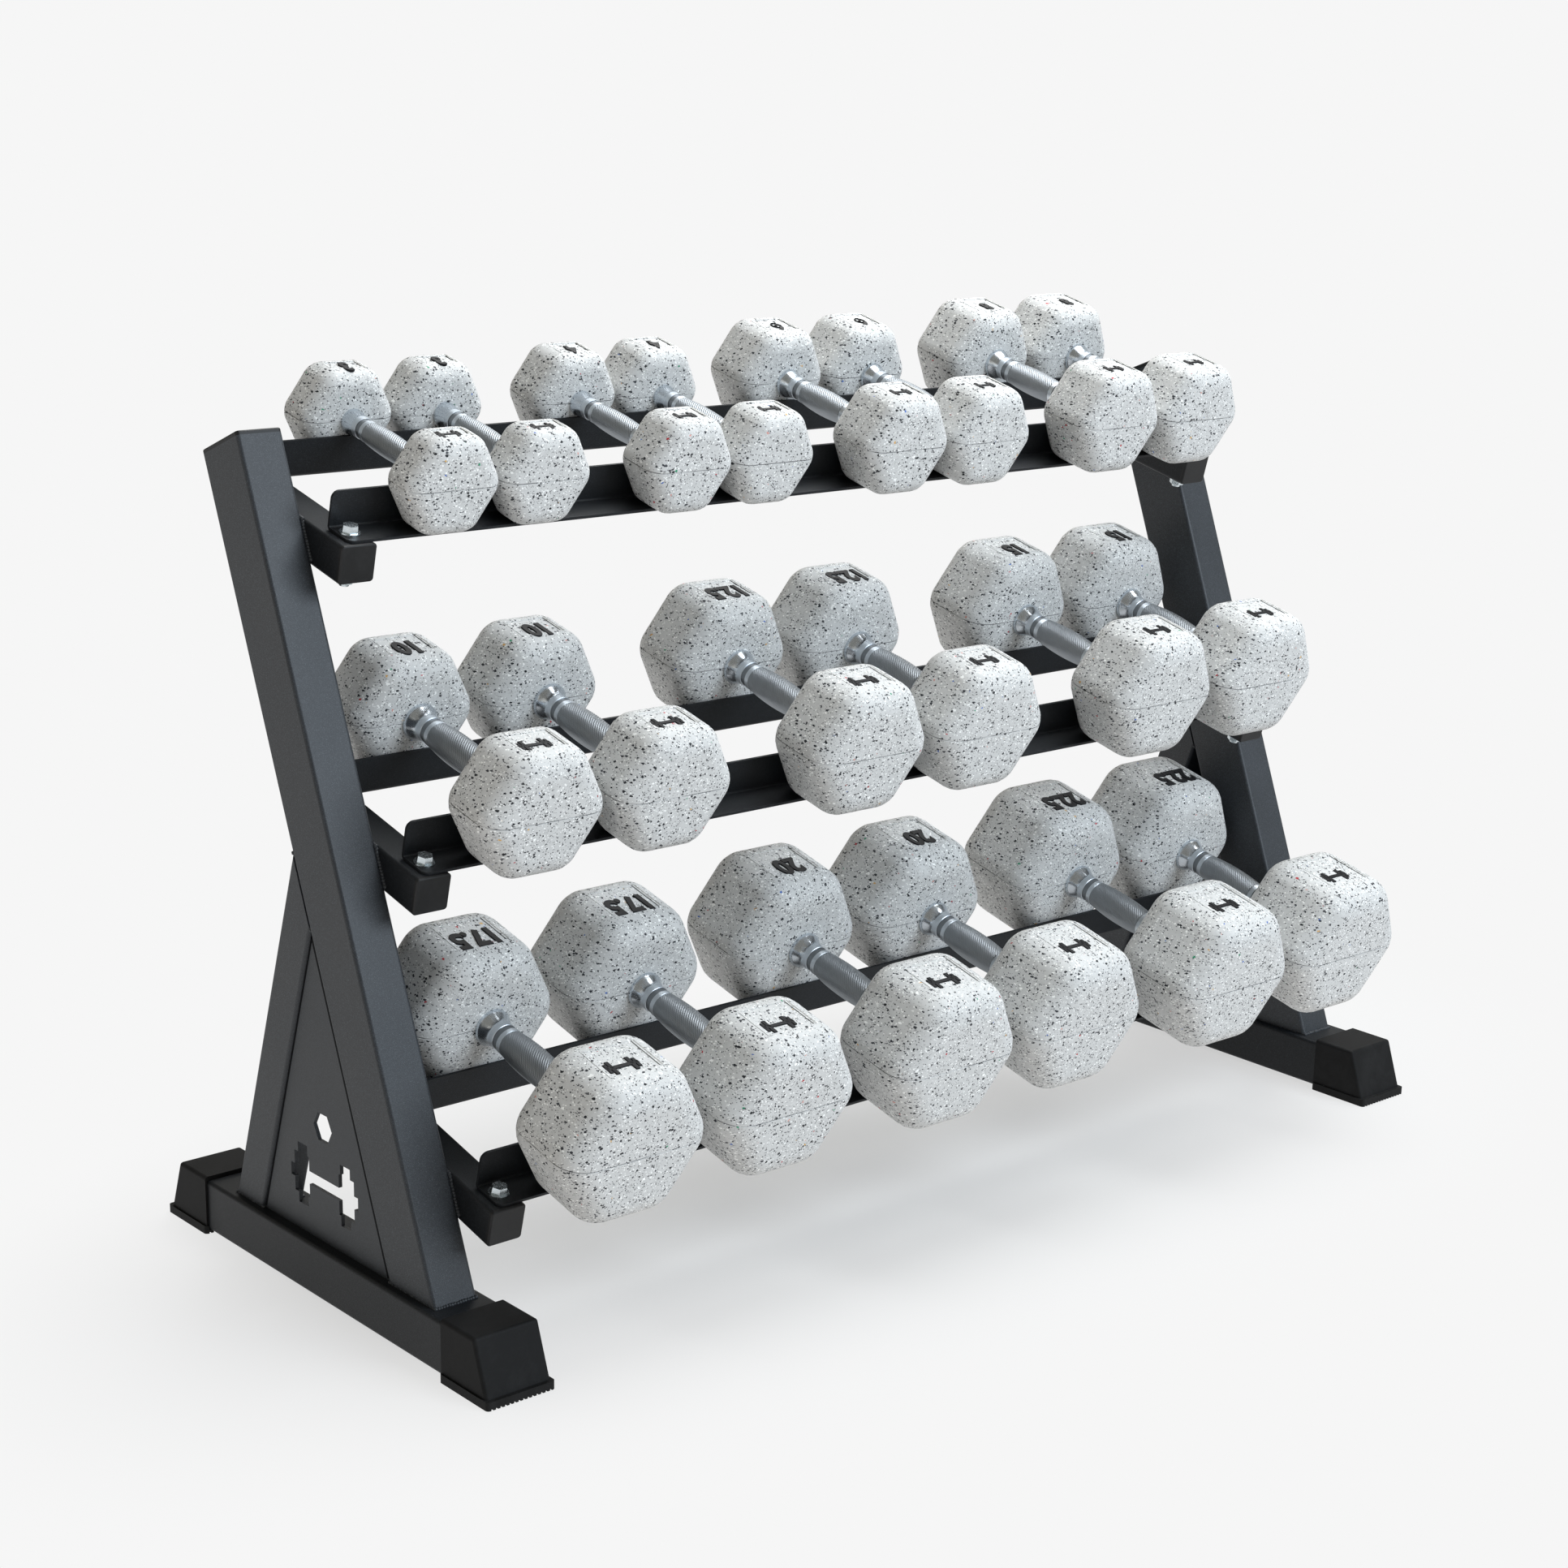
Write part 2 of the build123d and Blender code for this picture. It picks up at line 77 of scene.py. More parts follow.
def powder_coat(name, depth, gloss):
    """Satin black with a pebbled grain and soft clouds, with fine glints painted into its colour as
    painted highlights. Depth scales its tone.
    """
    material, tree, shader = new_material(name)
    link = tree.links.new
    where = place(tree, "ShaderNodeTexCoord")
    grain = place(tree, "ShaderNodeTexNoise", scale=900.0, detail=3.0, roughness=0.65)
    clouds = place(tree, "ShaderNodeTexNoise", scale=9.0, detail=4.0, roughness=0.6)
    painted_glint_specks = place(tree, "ShaderNodeTexNoise", scale=2100.0, detail=1.0)
    for texture in (grain, clouds, painted_glint_specks):
        link(where.outputs["Object"], texture.inputs["Vector"])
    tone = place(tree, "ShaderNodeValToRGB")
    tone.color_ramp.elements[0].position = 0.35
    tone.color_ramp.elements[0].color = (0.0135 * depth, 0.0158 * depth, 0.0192 * depth, 1)
    tone.color_ramp.elements[1].position = 0.7
    tone.color_ramp.elements[1].color = (0.0200 * depth, 0.0232 * depth, 0.0280 * depth, 1)
    link(clouds.outputs["Fac"], tone.inputs["Fac"])
    # Painted highlight: fine glints from a speck noise are added to the base colour.
    painted_glint = place(tree, "ShaderNodeValToRGB")
    painted_glint.color_ramp.elements[0].position = 0.57
    painted_glint.color_ramp.elements[0].color = (0, 0, 0, 1)
    painted_glint.color_ramp.elements[1].position = 0.78
    painted_glint.color_ramp.elements[1].color = (0.10 * depth, 0.115 * depth, 0.13 * depth, 1)
    link(painted_glint_specks.outputs["Fac"], painted_glint.inputs["Fac"])
    shader.inputs["Specular IOR Level"].default_value = gloss
    coat = place(tree, "ShaderNodeMix", data_type="RGBA", blend_type="ADD")
    coat.inputs["Factor"].default_value = 1.0
    link(tone.outputs["Color"], coat.inputs["A"])
    link(painted_glint.outputs["Color"], coat.inputs["B"])
    link(coat.outputs["Result"], shader.inputs["Base Color"])
    sheen = place(tree, "ShaderNodeMapRange")
    sheen.inputs["To Min"].default_value = 0.42
    sheen.inputs["To Max"].default_value = 0.56
    link(clouds.outputs["Fac"], sheen.inputs["Value"])
    link(sheen.outputs["Result"], shader.inputs["Roughness"])
    bump = place(tree, "ShaderNodeBump", strength=0.35, distance=0.0004)
    link(grain.outputs["Fac"], bump.inputs["Height"])
    link(bump.outputs["Normal"], shader.inputs["Normal"])
    return material


def coat_node(name, material):
    """Give a carried-over CAD node its finish."""
    for material_slot in nodes[name].material_slots:
        material_slot.material = material


black_coat = powder_coat("powder_coat", 1.0, 0.45)
# Painted shade: a darker copy of the same coat for the base tubes, the arms and the rails.
painted_shade_coat = powder_coat("powder_coat_painted_shade", 0.4, 0.26)
for side in ("left", "right"):
    coat_node(f"{side}_base_tube", painted_shade_coat)
    for piece_name in ("upright", "rear_brace", "gusset_plate"):
        coat_node(f"{side}_{piece_name}", black_coat)
    coat_node(f"{side}_shelf_arms", painted_shade_coat)

# ---- Weld beads -----------------------------------------------------------------------------------
# Where tube meets tube the frame is MIG welded, then coated. A bead is a chain of small overlapping
# scales of cooled metal, laid round the foot of each upright and brace and round each arm.

lean = math.radians(21.5)
slope = math.radians(13.8)
brace_tilt = math.radians(18.4)
tube_width = 0.050
brace_depth = 0.050
upright_depth = 0.074
arm_side = 0.040
first_shelf = 0.1228
shelf_pitch = 0.3265
up_along = Vector((0, math.sin(lean), math.cos(lean)))
shelf_forward = Vector((0, -math.cos(slope), -math.sin(slope)))
shelf_normal = Vector((0, -math.sin(slope), math.cos(slope)))
front_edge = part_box("left_upright")[0].y
base_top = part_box("left_base_tube")[1].z
outer_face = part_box("right_upright")[1].x
inner_face = outer_face - tube_width
scale_pitch = 0.0030
scale_radius = 0.0027
scale_jitter = 0.00025
bead_inset = 0.002  # from a tube's face to the line of the bead
bead_sizes = (0.86, 1.08)  # smallest and largest scale, as shares of the radius
gap_shadow_thickness = 0.0006
gap_shadow_share = 0.985  # of the seam's length
gap_shadow_edge = 0.0002
front_gap_shadow_width = 0.0066
rear_gap_shadow_width = 0.0022
chance = random.Random(7)


def shelf_origin(shelf):
    """Where a shelf's surface meets the uprights' front edge, in the middle of the rack."""
    return Vector((0, front_edge, base_top)) + up_along * (first_shelf + shelf * shelf_pitch)


def lay_bead(mesh, start, end):
    """Drop a chain of scales between two points."""
    run = end - start
    count = max(2, round(run.length / scale_pitch))
    for step in range(count + 1):
        at = start.lerp(end, step / count)
        jitter = Vector((chance.uniform(-1, 1), chance.uniform(-1, 1), chance.uniform(-1, 1)))
        size = scale_radius * chance.uniform(*bead_sizes)
        placed = Matrix.Translation(at + jitter * scale_jitter)
        bmesh.ops.create_icosphere(mesh, subdivisions=1, radius=size, matrix=placed)


def finish_mesh(mesh, name, material, body):
    """Turn a bmesh into a named piece that rides on a body."""
    data = bpy.data.meshes.new(name)
    mesh.to_mesh(data)
    mesh.free()
    data.materials.append(material)
    piece = bpy.data.objects.new(name, data)
    bpy.context.collection.objects.link(piece)
    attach(piece, body)
    return piece


# Near-black matte coat for strips that paint the shadow in the gaps round the plate.
gap_shadow_black = powder_coat("painted_gap_shadow", 0.15, 0.05)
brace_far_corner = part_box("left_rear_brace")[1]
brace_foot_depth = brace_depth / math.cos(brace_tilt)
brace_foot_rear = brace_far_corner.y
upright_foot_depth = upright_depth / math.cos(lean)
upright_back = front_edge + upright_foot_depth
for side, sign in (("left", -1), ("right", 1)):
    beads = bmesh.new()
    outside = sign * (outer_face - bead_inset)
    inside = sign * (inner_face + bead_inset)
    # Round the feet of the upright and the brace.
    for near, far in ((front_edge, upright_back), (brace_foot_rear - brace_foot_depth, brace_foot_rear)):
        corners = [(outside, near), (inside, near), (inside, far), (outside, far)]
        for (ax, ay), (bx, by) in zip(corners, corners[1:] + corners[:1]):
            lay_bead(beads, Vector((ax, ay, base_top)), Vector((bx, by, base_top)))
    # Across the upright's back, where the brace ends.
    brace_top = brace_far_corner.z
    for height in (brace_top, brace_top - brace_depth / math.sin(lean + brace_tilt) * math.cos(lean)):
        back_y = upright_back + (height - base_top) * math.tan(lean)
        lay_bead(beads, Vector((outside, back_y, height)), Vector((inside, back_y, height)))
    # Round each arm, on the inner face of the upright.
    face = sign * inner_face
    across = upright_depth / math.cos(lean - slope)
    for shelf in range(3):
        origin = shelf_origin(shelf)
        origin.x = face
        ahead = up_along * (-arm_side / math.cos(lean - slope))
        top_front = origin
        low_front = origin + ahead
        top_back = top_front - shelf_forward * across
        low_back = low_front - shelf_forward * across
        corners = [top_front, top_back, low_back, low_front]
        for start, end in zip(corners, corners[1:] + corners[:1]):
            lay_bead(beads, start, end)
    bead_piece = finish_mesh(beads, f"{side}_weld_beads", black_coat, "rack")
    bead_piece.data.shade_smooth()
    # Dark matte strips along the plate's seams with the upright and the brace are painted shadow of the
    # narrow gap there.
    plate_low, plate_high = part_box(f"{side}_gusset_plate")
    plate_face = plate_high.x if sign > 0 else plate_low.x
    apex = Vector((plate_face, upright_back + (plate_high.z - base_top) * math.tan(lean), plate_high.z))
    front_foot = Vector((plate_face, upright_back, base_top))
    rear_foot = Vector((plate_face, plate_high.y, base_top))
    gap_shadow_strips = bmesh.new()
    for foot in (front_foot, rear_foot):
        run = apex - foot
        cube = bmesh.ops.create_cube(gap_shadow_strips, size=1.0)
        # The upright's corner hides the first part of the front painted shadow strip from the front, so
        # that one is the wider.
        width = front_gap_shadow_width if foot is front_foot else rear_gap_shadow_width
        size = (gap_shadow_thickness, width, run.length * gap_shadow_share)
        bmesh.ops.scale(gap_shadow_strips, verts=cube["verts"], vec=size)
        tilt = Matrix.Rotation(-math.atan2(run.y, run.z), 3, "X")
        bmesh.ops.rotate(gap_shadow_strips, verts=cube["verts"], matrix=tilt)
        inward = width / 2 if foot is front_foot else -width / 2
        bmesh.ops.translate(gap_shadow_strips, verts=cube["verts"], vec=(foot + apex) / 2 + Vector((0, inward, 0)))
    bmesh.ops.bevel(
        gap_shadow_strips,
        geom=gap_shadow_strips.edges[:],
        offset=gap_shadow_edge,
        affect="EDGES",
        segments=2,
        profile=0.5,
        material=-1,
    )
    finish_mesh(gap_shadow_strips, f"{side}_plate_gap_shadows", gap_shadow_black, "rack")

# ---- Shelf rails ----------------------------------------------------------------------------------
# Six lengths of folded angle in the same darker copy of the coat as the arms, as painted shade. The
# standing leg of each keeps the heads from sliding off the shelf.

for shelf_name in ("top", "middle", "bottom"):
    for rail_name in ("front", "rear"):
        coat_node(f"{shelf_name}_{rail_name}_rail", painted_shade_coat)

# ---- Bolts and nuts -------------------------------------------------------------------------------
# Bright zinc-plated flange bolts hold the rails to the arms, with flange nuts underneath. Zinc has a
# cool, slightly blue shine and mottles as it is handled.


def zinc_plate():
    """Bright zinc: bluish metal with faint mottling."""
    material, tree, shader = new_material("zinc_plate")
    link = tree.links.new
    where = place(tree, "ShaderNodeTexCoord")
    mottle = place(tree, "ShaderNodeTexNoise", scale=260.0, detail=4.0, roughness=0.6)
    link(where.outputs["Object"], mottle.inputs["Vector"])
    tone = place(tree, "ShaderNodeValToRGB")
    tone.color_ramp.elements[0].color = (0.42, 0.47, 0.50, 1)
    tone.color_ramp.elements[1].color = (0.78, 0.84, 0.86, 1)
    link(mottle.outputs["Fac"], tone.inputs["Fac"])
    link(tone.outputs["Color"], shader.inputs["Base Color"])
    shine = place(tree, "ShaderNodeMapRange")
    shine.inputs["To Min"].default_value = 0.16
    shine.inputs["To Max"].default_value = 0.36
    link(mottle.outputs["Fac"], shine.inputs["Value"])
    link(shine.outputs["Result"], shader.inputs["Roughness"])
    bump = place(tree, "ShaderNodeBump", strength=0.15, distance=0.0002)
    link(mottle.outputs["Fac"], bump.inputs["Height"])
    link(bump.outputs["Normal"], shader.inputs["Normal"])
    shader.inputs["Metallic"].default_value = 1.0
    return material


bright_zinc = zinc_plate()
coat_node("rail_bolts", bright_zinc)
coat_node("rail_nuts", bright_zinc)

# ---- Rubber feet and tube caps --------------------------------------------------------------------
# The feet are moulded rubber boots pushed over the ends of the base tubes, and the caps are moulded
# plugs in the ends of uprights and arms. Both are matte black with a lightly rubbed skin.


def moulded_black(name, tone_low, tone_high, rough_low, rough_high, grain_scale, gloss):
    """Matte moulded black: a fine leathery skin with pale rub marks."""
    material, tree, shader = new_material(name)
    link = tree.links.new
    where = place(tree, "ShaderNodeTexCoord")
    skin = place(tree, "ShaderNodeTexNoise", scale=grain_scale, detail=3.0, roughness=0.7)
    shader.inputs["Specular IOR Level"].default_value = gloss
    rubs = place(tree, "ShaderNodeTexNoise", scale=28.0, detail=6.0, roughness=0.75, distortion=0.6)
    for texture in (skin, rubs):
        link(where.outputs["Object"], texture.inputs["Vector"])
    tone = place(tree, "ShaderNodeValToRGB")
    tone.color_ramp.elements[0].position = 0.42
    tone.color_ramp.elements[0].color = (tone_low, tone_low, tone_low * 1.03, 1)
    tone.color_ramp.elements[1].position = 0.75
    tone.color_ramp.elements[1].color = (tone_high, tone_high, tone_high * 1.03, 1)
    link(rubs.outputs["Fac"], tone.inputs["Fac"])
    link(tone.outputs["Color"], shader.inputs["Base Color"])
    shine = place(tree, "ShaderNodeMapRange")
    shine.inputs["To Min"].default_value = rough_low
    shine.inputs["To Max"].default_value = rough_high
    link(rubs.outputs["Fac"], shine.inputs["Value"])
    link(shine.outputs["Result"], shader.inputs["Roughness"])
    bump = place(tree, "ShaderNodeBump", strength=0.3, distance=0.0003)
    link(skin.outputs["Fac"], bump.inputs["Height"])
    link(bump.outputs["Normal"], shader.inputs["Normal"])
    return material


coat_node("rubber_feet", moulded_black("foot_rubber", 0.006, 0.014, 0.55, 0.7, 700.0, 0.16))
coat_node("end_caps", moulded_black("cap_plastic", 0.008, 0.016, 0.42, 0.52, 1100.0, 0.3))

# ---- Dumbbell heads -------------------------------------------------------------------------------
# Each head is a hexagonal block of rubber moulded round an iron core. The rubber is recycled: pale
# grey, full of black, charcoal and white crumbs and a few coloured ones. The mould leaves a parting
# line at half height, and a shallow panel is sunk in the top flat.

rounding = 0.20  # share of the width across flats
end_bevel_share = 0.94  # bevel at the ends, as a share of the rounding along the corners
skin = 0.0005  # kept inside the plain CAD head
corner_share = 1 / math.cos(math.pi / 6)
width_share = corner_share - 2 * rounding * (corner_share - 1)
grip_length = {"top": 0.140, "middle": 0.146, "bottom": 0.148}
shelf_of = {
    "top": ("3", "4", "6", "8"),
    "middle": ("10", "12_5", "15"),
    "bottom": ("17_5", "20", "22_5"),
}
seam_width = 0.0014
seam_depth = 0.0007
# The label panel: its share of the head's width and length, and how it is let in.
panel_width = 0.40
panel_length = 0.48
panel_limit = 0.96
panel_margin = 0.0005
panel_wall = 0.0006
panel_depth = 0.0009
flat_face_weight = 80
sharp_head_angle = math.radians(38)


def crumb_layer(tree, where, scale, reach, share, squeeze):
    """A mask of angular crumbs: some cells of a Voronoi pattern, each filled out to its own size."""
    link = tree.links.new
    wobble = place(tree, "ShaderNodeTexNoise", scale=scale * 1.7, detail=2.0)
    link(where.outputs["Object"], wobble.inputs["Vector"])
    centred = place(tree, "ShaderNodeVectorMath", operation="MULTIPLY_ADD")
    centred.inputs[1].default_value = (0.9 / scale,) * 3
    link(wobble.outputs["Color"], centred.inputs[0])
    link(where.outputs["Object"], centred.inputs[2])
    turned = place(tree, "ShaderNodeMapping")
    turned.inputs["Rotation"].default_value = (squeeze, 2.1 * squeeze, 0.7)
    turned.inputs["Scale"].default_value = (1.0, 0.72, 1.3)
    link(centred.outputs["Vector"], turned.inputs["Vector"])
    cells = place(tree, "ShaderNodeTexVoronoi", scale=scale, distance="MINKOWSKI", exponent=1.4)
    link(turned.outputs["Vector"], cells.inputs["Vector"])
    traits = place(tree, "ShaderNodeSeparateColor")
    link(cells.outputs["Color"], traits.inputs["Color"])
    chosen = place(tree, "ShaderNodeMath", operation="LESS_THAN")
    chosen.inputs[1].default_value = share
    link(traits.outputs["Red"], chosen.inputs[0])
    size = place(tree, "ShaderNodeMath", operation="MULTIPLY")
    size.inputs[1].default_value = reach
    link(traits.outputs["Green"], size.inputs[0])
    inside = place(tree, "ShaderNodeMath", operation="LESS_THAN")
    link(cells.outputs["Distance"], inside.inputs[0])
    link(size.outputs["Value"], inside.inputs[1])
    mask = place(tree, "ShaderNodeMath", operation="MULTIPLY")
    link(chosen.outputs["Value"], mask.inputs[0])
    link(inside.outputs["Value"], mask.inputs[1])
    return mask.outputs["Value"], traits.outputs["Blue"]


def crumb_rubber():
    """Pale recycled rubber with crumbs in several sizes and a handful of colours."""
    material, tree, shader = new_material("crumb_rubber")
    link = tree.links.new
    where = place(tree, "ShaderNodeTexCoord")
    clouds = place(tree, "ShaderNodeTexNoise", scale=120.0, detail=5.0, roughness=0.7)
    link(where.outputs["Object"], clouds.inputs["Vector"])
    base = place(tree, "ShaderNodeValToRGB")
    base.color_ramp.elements[0].position = 0.3
    base.color_ramp.elements[0].color = (0.525, 0.525, 0.515, 1)
    base.color_ramp.elements[1].position = 0.72
    base.color_ramp.elements[1].color = (0.61, 0.61, 0.60, 1)
    link(clouds.outputs["Fac"], base.inputs["Fac"])
    layers = [
        # cells per metre, reach, share, turn, colours from dark to light or across hues
        (620.0, 0.60, 0.22, 0.3, [(0.16, 0.16, 0.16), (0.33, 0.33, 0.32)]),
        (480.0, 0.66, 0.30, 1.1, [(0.84, 0.84, 0.82), (0.95, 0.95, 0.93)]),
        (560.0, 0.64, 0.32, 1.9, [(0.012, 0.013, 0.016), (0.10, 0.10, 0.105)]),
        (270.0, 0.54, 0.14, 2.6, [(0.80, 0.80, 0.78), (0.95, 0.95, 0.93)]),
        (300.0, 0.63, 0.29, 0.8, [(0.006, 0.007, 0.009), (0.035, 0.037, 0.045)]),
    ]
    colour = base.outputs["Color"]
    crumbs = None
    for scale, reach, share, squeeze, (low, high) in layers:
        mask, trait = crumb_layer(tree, where, scale, reach, share, squeeze)
        tint = place(tree, "ShaderNodeValToRGB")
        tint.color_ramp.elements[0].color = (*low, 1)
        tint.color_ramp.elements[1].color = (*high, 1)
        link(trait, tint.inputs["Fac"])
        mixed = place(tree, "ShaderNodeMix", data_type="RGBA")
        link(mask, mixed.inputs["Factor"])
        link(colour, mixed.inputs["A"])
        link(tint.outputs["Color"], mixed.inputs["B"])
        colour = mixed.outputs["Result"]
        crumbs = mask
    # The rare bright crumbs: red, blue, green, ochre and pink.
    mask, trait = crumb_layer(tree, where, 230.0, 0.44, 0.026, 1.4)
    hues = place(tree, "ShaderNodeValToRGB")
    hues.color_ramp.interpolation = "CONSTANT"
    hues.color_ramp.elements[0].color = (0.42, 0.02, 0.03, 1)
    hues.color_ramp.elements[1].position = 0.28
    hues.color_ramp.elements[1].color = (0.04, 0.12, 0.42, 1)
    for position, hue in (
        (0.5, (0.62, 0.36, 0.10)),
        (0.66, (0.02, 0.26, 0.13)),
        (0.82, (0.60, 0.28, 0.24)),
    ):
        stop = hues.color_ramp.elements.new(position)
        stop.color = (*hue, 1)
    link(trait, hues.inputs["Fac"])
    bright = place(tree, "ShaderNodeMix", data_type="RGBA")
    link(mask, bright.inputs["Factor"])
    link(colour, bright.inputs["A"])
    link(hues.outputs["Color"], bright.inputs["B"])
    # Painted shade darkens the parting line's groove, broken up by noise.
    seam = place(tree, "ShaderNodeAttribute", attribute_name="parting_line_shade")
    shade_breakup = place(tree, "ShaderNodeTexNoise", scale=35.0, detail=3.0)
    link(where.outputs["Object"], shade_breakup.inputs["Vector"])
    strength = place(tree, "ShaderNodeMapRange")
    strength.inputs["From Min"].default_value = 0.42
    strength.inputs["From Max"].default_value = 0.56
    strength.inputs["To Min"].default_value = 0.15
    link(shade_breakup.outputs["Fac"], strength.inputs["Value"])
    seam_shade_amount = place(tree, "ShaderNodeMath", operation="MULTIPLY")
    link(seam.outputs["Fac"], seam_shade_amount.inputs[0])
    link(strength.outputs["Result"], seam_shade_amount.inputs[1])
    seam_painted_shade = place(tree, "ShaderNodeMix", data_type="RGBA")
    seam_painted_shade.inputs["B"].default_value = (0.06, 0.06, 0.06, 1)
    link(seam_shade_amount.outputs["Value"], seam_painted_shade.inputs["Factor"])
    link(bright.outputs["Result"], seam_painted_shade.inputs["A"])
    link(seam_painted_shade.outputs["Result"], shader.inputs["Base Color"])
    skin = place(tree, "ShaderNodeTexNoise", scale=700.0, detail=3.0, roughness=0.6)
    link(where.outputs["Object"], skin.inputs["Vector"])
    relief = place(tree, "ShaderNodeMath", operation="MULTIPLY_ADD")
    relief.inputs[1].default_value = -0.4
    link(crumbs, relief.inputs[0])
    link(skin.outputs["Fac"], relief.inputs[2])
    bump = place(tree, "ShaderNodeBump", strength=0.3, distance=0.0004)
    link(relief.outputs["Value"], bump.inputs["Height"])
    link(bump.outputs["Normal"], shader.inputs["Normal"])
    shader.inputs["Roughness"].default_value = 0.58
    shader.inputs["Specular IOR Level"].default_value = 0.38
    return material


def mould_head(flats, length):
    """One head about its own middle: x across, y out from the handle, z up. Returns a bmesh."""
    head = bmesh.new()
    ring = bmesh.ops.create_circle(head, cap_ends=True, segments=6, radius=flats / 2 * corner_share)
    # The circle lies in XY with a corner on +Y; turn its axis to Y and a corner to +X.
    bmesh.ops.rotate(head, verts=ring["verts"], matrix=Matrix.Rotation(math.pi / 2, 3, "Z"))
    bmesh.ops.rotate(head, verts=ring["verts"], matrix=Matrix.Rotation(math.pi / 2, 3, "X"))
    bmesh.ops.translate(head, verts=ring["verts"], vec=(0, -length / 2, 0))
    grown = bmesh.ops.extrude_face_region(head, geom=head.faces[:])
    moved = [item for item in grown["geom"] if isinstance(item, bmesh.types.BMVert)]
    bmesh.ops.translate(head, verts=moved, vec=(0, length, 0))
    bmesh.ops.recalc_face_normals(head, faces=head.faces[:])
    radius = rounding * flats
    long_edges = [
        edge
        for edge in head.edges
        if abs(edge.verts[0].co.y - edge.verts[1].co.y) > length / 2
    ]
    bmesh.ops.bevel(
        head,
        geom=long_edges,
        offset=radius * math.tan(math.pi / 6),
        affect="EDGES",
        segments=6,
        profile=0.5,
        material=-1,
    )
    end_edges = [
        edge
        for edge in head.edges
        if abs(edge.verts[0].co.y - edge.verts[1].co.y) < 1e-6 and edge.is_manifold
    ]
    bmesh.ops.bevel(
        head,
        geom=end_edges,
        offset=radius * end_bevel_share,
        affect="EDGES",
        segments=7,
        profile=0.5,
        material=-1,
    )
    return head


def sink_panel(head, flats, length):
    """Sink the shallow label panel in the top flat."""
    top = max(head.faces, key=lambda face: (round(face.calc_center_median().z, 5), face.calc_area()))
    bmesh.ops.inset_individual(head, faces=[top], thickness=panel_margin)
    middle = top.calc_center_median()
    across = [vert.co.x for vert in top.verts]
    along = [vert.co.y for vert in top.verts]
    share_x = panel_width * flats / (max(across) - min(across))
    share_y = min(panel_limit, panel_length * length / (max(along) - min(along)))
    bmesh.ops.scale(
        head, verts=top.verts[:], vec=(share_x, share_y, 1), space=Matrix.Translation(-middle)
    )
    bmesh.ops.inset_individual(head, faces=[top], thickness=panel_wall, depth=-panel_depth)


def cut_seam(head):
    """Press the parting line in at half height."""
    for height in (seam_width / 2, 0.0, -seam_width / 2):
        everything = head.verts[:] + head.edges[:] + head.faces[:]
        bmesh.ops.bisect_plane(head, geom=everything, plane_co=(0, 0, height), plane_no=(0, 0, 1))
    head.verts.ensure_lookup_table()
    # The groove's vertices are marked for the painted shade that darkens it in the crumb rubber.
    line = head.verts.layers.float.new("parting_line_shade")
    middle = [vert for vert in head.verts if abs(vert.co.z) < 1e-6]
    head.normal_update()
    pushes = [(vert, -vert.normal * seam_depth) for vert in middle]
    for vert, push in pushes:
        vert.co += push
        vert[line] = 1.0


crumb = crumb_rubber()
# In a dumbbell's own frame x points left, y forward down the shelf and z square to the shelf.
shelf_turn = Matrix((Vector((-1, 0, 0)), shelf_forward, shelf_normal)).transposed().to_4x4()
dumbbells = []
for shelf_name, kilograms in shelf_of.items():
    for kilogram in kilograms:
        for side in ("left", "right"):
            name = f"dumbbell_{kilogram}kg_{side}"
            low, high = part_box(f"{name}_heads")
            middle = (low + high) / 2
            flats = (high.x - low.x) / width_share - 2 * skin
            radius = rounding * flats
            half_depth = (high.y - low.y) / 2 - skin
            rise = (flats / 2 - radius) * math.sin(slope)
            end = (half_depth - radius - rise) / math.cos(slope) + radius
            gap = grip_length[shelf_name]
            dumbbells.append((name, shelf_name, kilogram, middle, flats, end - gap / 2, gap))

for name, shelf_name, kilogram, middle, flats, length, gap in dumbbells:
    pair = bmesh.new()
    for end in (-1, 1):
        head = mould_head(flats, length)
        sink_panel(head, flats, length)
        cut_seam(head)
        reach = end * (gap + length) / 2
        bmesh.ops.translate(head, verts=head.verts[:], vec=(0, reach, 0))
        scratch = bpy.data.meshes.new("head_half")
        head.to_mesh(scratch)
        head.free()
        pair.from_mesh(scratch)
        bpy.data.meshes.remove(scratch)
    bmesh.ops.transform(pair, matrix=Matrix.Translation(middle) @ shelf_turn, verts=pair.verts[:])
    heads = finish_mesh(pair, f"{name}_rubber_heads", crumb, name)
    heads.data.shade_smooth()
    weights = heads.modifiers.new("flat_faces", "WEIGHTED_NORMAL")
    weights.weight = flat_face_weight
    weights.keep_sharp = True
    heads.data.set_sharp_from_angle(angle=sharp_head_angle)
    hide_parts(f"{name}_heads")

# ---- Weight numbers and dumbbell sign -------------------------------------------------------------
# Black rubber figures are moulded into the rear heads, to be read from behind, and a small plain
# dumbbell sign into the front heads. Both stand a little proud of the sunk panel.


def mark_rubber():
    """Black moulded rubber, slightly shinier than the head round it."""
    material, tree, shader = new_material("mark_rubber")
    link = tree.links.new
    where = place(tree, "ShaderNodeTexCoord")
    skin = place(tree, "ShaderNodeTexNoise", scale=1500.0, detail=2.0)
    link(where.outputs["Object"], skin.inputs["Vector"])
    tone = place(tree, "ShaderNodeValToRGB")
    tone.color_ramp.elements[0].color = (0.003, 0.003, 0.004, 1)
    tone.color_ramp.elements[1].color = (0.010, 0.010, 0.012, 1)
    link(skin.outputs["Fac"], tone.inputs["Fac"])
    link(tone.outputs["Color"], shader.inputs["Base Color"])
    bump = place(tree, "ShaderNodeBump", strength=0.2, distance=0.0002)
    link(skin.outputs["Fac"], bump.inputs["Height"])
    link(bump.outputs["Normal"], shader.inputs["Normal"])
    shader.inputs["Roughness"].default_value = 0.5
    shader.inputs["Specular IOR Level"].default_value = 0.22
    return material


